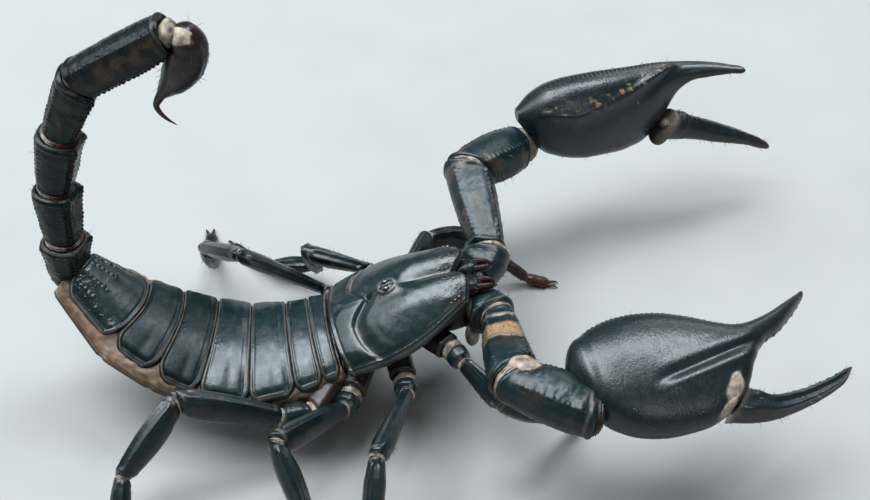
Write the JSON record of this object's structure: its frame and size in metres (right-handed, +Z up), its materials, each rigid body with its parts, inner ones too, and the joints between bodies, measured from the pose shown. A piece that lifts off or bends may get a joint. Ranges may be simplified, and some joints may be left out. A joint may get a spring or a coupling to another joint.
{
  "type": "scorpion",
  "caption": "Large glossy black scorpion standing raised on its legs, pincers spread and open, body dipped in the middle, tail arched up with the sting hanging.",
  "frame": {"origin": "middle of the bounding box, on the floor the feet stand on", "axes": "+X the way the head and pincers point, along the longest extent; +Y the animal's left; +Z up"},
  "size_m": [0.1494, 0.1226, 0.0889],
  "materials": {
    "shell": "glossy blue-black cuticle",
    "hand": "satin slate-black cuticle, finely granular",
    "belly": "soft dark brown flanks and belly",
    "membrane": "pale soft skin between plates",
    "telson": "dark reddish-brown cuticle",
    "foot": "dark reddish-brown cuticle",
    "eye": "polished black lens"
  },
  "bodies": {
    "root": {"carapace": "shell", "eye_median_l": "eye", "eye_median_r": "eye", "eyes_lateral_l": "eye", "eyes_lateral_r": "eye", "coxosternum": "belly", "chelicera_l": "shell", "chelicera_r": "shell", "belly": "belly", "pecten_l": "membrane", "pecten_r": "membrane", "telson_vesicle": "telson", "telson_aculeus": "telson", "tergite_1": "shell", "tergite_2": "shell", "tergite_3": "shell", "tergite_4": "shell", "tergite_5": "shell", "tergite_6": "shell", "tergite_7": "shell", "metasoma_1": "shell", "metasoma_2": "shell", "metasoma_3": "shell", "metasoma_4": "shell", "metasoma_5": "shell", "pedipalp_trochanter_l": "shell", "pedipalp_femur_l": "shell", "pedipalp_patella_l": "shell", "pedipalp_manus_l": "hand", "pedipalp_finger_l": "hand", "leg_l1_femur": "shell", "leg_l1_patella": "shell", "leg_l1_foot": "foot", "leg_l2_femur": "shell", "leg_l2_patella": "shell", "leg_l2_foot": "foot", "leg_l3_femur": "shell", "leg_l3_patella": "shell", "leg_l3_foot": "foot", "leg_l4_femur": "shell", "leg_l4_patella": "shell", "leg_l4_foot": "foot", "pedipalp_trochanter_r": "shell", "pedipalp_femur_r": "shell", "pedipalp_patella_r": "shell", "pedipalp_manus_r": "hand", "pedipalp_finger_r": "hand", "leg_r1_femur": "shell", "leg_r1_patella": "shell", "leg_r1_foot": "foot", "leg_r2_femur": "shell", "leg_r2_patella": "shell", "leg_r2_foot": "foot", "leg_r3_femur": "shell", "leg_r3_patella": "shell", "leg_r3_foot": "foot", "leg_r4_femur": "shell", "leg_r4_patella": "shell", "leg_r4_foot": "foot"}
  },
  "joints": []
}
